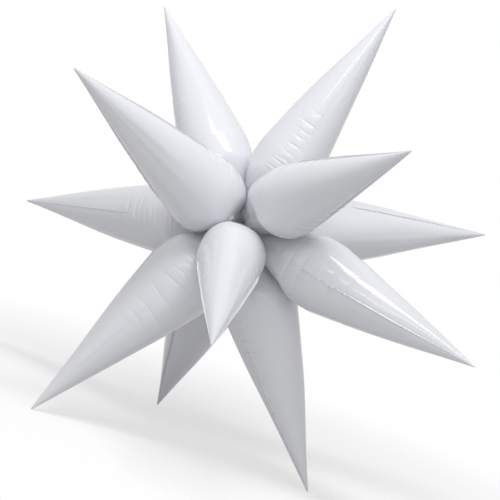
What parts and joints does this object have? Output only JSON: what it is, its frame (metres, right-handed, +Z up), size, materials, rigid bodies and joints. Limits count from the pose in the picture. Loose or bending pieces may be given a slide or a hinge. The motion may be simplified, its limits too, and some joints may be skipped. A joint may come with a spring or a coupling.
{
  "type": "starburst film balloon",
  "caption": "Inflated starburst balloon of glossy white film cones whose tails are threaded on one tie cord at the middle; each cone turns on its own tail.",
  "frame": {"origin": "floor level, under the centre of the star's box", "axes": "+Z up from the floor that three cone tips stand on, +Y away from the front of the star, +X to its right"},
  "size_m": [0.5742, 0.6308, 0.5817],
  "materials": {
    "white_film": "glossy",
    "valve_film": "satin",
    "tie_cord": "matte"
  },
  "bodies": {
    "tie": {"tie_cord": "tie_cord", "tie_knot": "tie_cord"},
    "upper_left_cone": {"upper_left_cone_panel_a": "white_film", "upper_left_cone_panel_b": "white_film", "upper_left_cone_valve": "valve_film"},
    "front_cone": {"front_cone_panel_a": "white_film", "front_cone_panel_b": "white_film", "front_cone_valve": "valve_film"},
    "top_right_cone": {"top_right_cone_panel_a": "white_film", "top_right_cone_panel_b": "white_film", "top_right_cone_valve": "valve_film"},
    "lower_left_cone": {"lower_left_cone_panel_a": "white_film", "lower_left_cone_panel_b": "white_film", "lower_left_cone_valve": "valve_film"},
    "right_cone": {"right_cone_panel_a": "white_film", "right_cone_panel_b": "white_film", "right_cone_valve": "valve_film"},
    "rear_cone": {"rear_cone_panel_a": "white_film", "rear_cone_panel_b": "white_film", "rear_cone_valve": "valve_film"},
    "top_left_cone": {"top_left_cone_panel_a": "white_film", "top_left_cone_panel_b": "white_film", "top_left_cone_valve": "valve_film"},
    "upper_right_cone": {"upper_right_cone_panel_a": "white_film", "upper_right_cone_panel_b": "white_film", "upper_right_cone_valve": "valve_film"},
    "bottom_cone": {"bottom_cone_panel_a": "white_film", "bottom_cone_panel_b": "white_film", "bottom_cone_valve": "valve_film"},
    "left_cone": {"left_cone_panel_a": "white_film", "left_cone_panel_b": "white_film", "left_cone_valve": "valve_film"},
    "bottom_rear_cone": {"bottom_rear_cone_panel_a": "white_film", "bottom_rear_cone_panel_b": "white_film", "bottom_rear_cone_valve": "valve_film"},
    "lower_right_cone": {"lower_right_cone_panel_a": "white_film", "lower_right_cone_panel_b": "white_film", "lower_right_cone_valve": "valve_film"}
  },
  "joints": [
    {"name": "upper_left_cone_twist", "type": "hinge", "parent": "tie", "child": "upper_left_cone", "pos_m": [-0.06903, -0.05181, 0.3031], "axis": [-0.7395, -0.5524, 0.3846], "range_deg": [-30, 30]},
    {"name": "front_cone_twist", "type": "hinge", "parent": "tie", "child": "front_cone", "pos_m": [-0.00928, -0.0963, 0.24473], "axis": [0.0346, -0.948, -0.3164], "range_deg": [-30, 30]},
    {"name": "top_right_cone_twist", "type": "hinge", "parent": "tie", "child": "top_right_cone", "pos_m": [0.01565, -0.00904, 0.37121], "axis": [0.2769, 0.005, 0.9609], "range_deg": [-30, 30]},
    {"name": "lower_left_cone_twist", "type": "hinge", "parent": "tie", "child": "lower_left_cone", "pos_m": [-0.05867, -0.03444, 0.1957], "axis": [-0.4917, -0.2647, -0.8296], "range_deg": [-30, 30]},
    {"name": "right_cone_twist", "type": "hinge", "parent": "tie", "child": "right_cone", "pos_m": [0.07327, 0.02166, 0.29833], "axis": [0.9071, 0.3303, 0.2608], "range_deg": [-30, 30]},
    {"name": "rear_cone_twist", "type": "hinge", "parent": "tie", "child": "rear_cone", "pos_m": [-0.01093, 0.08465, 0.28108], "axis": [0.0161, 0.9968, 0.0783], "range_deg": [-30, 30]},
    {"name": "top_left_cone_twist", "type": "hinge", "parent": "tie", "child": "top_left_cone", "pos_m": [-0.07303, 0.04006, 0.34734], "axis": [-0.5635, 0.4615, 0.6852], "range_deg": [-30, 30]},
    {"name": "upper_right_cone_twist", "type": "hinge", "parent": "tie", "child": "upper_right_cone", "pos_m": [0.03402, -0.09229, 0.3242], "axis": [0.4323, -0.7696, 0.4699], "range_deg": [-30, 30]},
    {"name": "bottom_cone_twist", "type": "hinge", "parent": "tie", "child": "bottom_cone", "pos_m": [0.04132, -0.01422, 0.19188], "axis": [0.5487, -0.0477, -0.8347], "range_deg": [-30, 30]},
    {"name": "left_cone_twist", "type": "hinge", "parent": "tie", "child": "left_cone", "pos_m": [-0.09578, 0.04421, 0.25205], "axis": [-0.821, 0.5297, -0.2131], "range_deg": [-30, 30]},
    {"name": "bottom_rear_cone_twist", "type": "hinge", "parent": "tie", "child": "bottom_rear_cone", "pos_m": [-0.02144, 0.05597, 0.18578], "axis": [-0.0817, 0.5957, -0.7991], "range_deg": [-30, 30]},
    {"name": "lower_right_cone_twist", "type": "hinge", "parent": "tie", "child": "lower_right_cone", "pos_m": [0.09961, -0.06747, 0.2551], "axis": [0.8789, -0.4542, -0.1458], "range_deg": [-30, 30]}
  ]
}
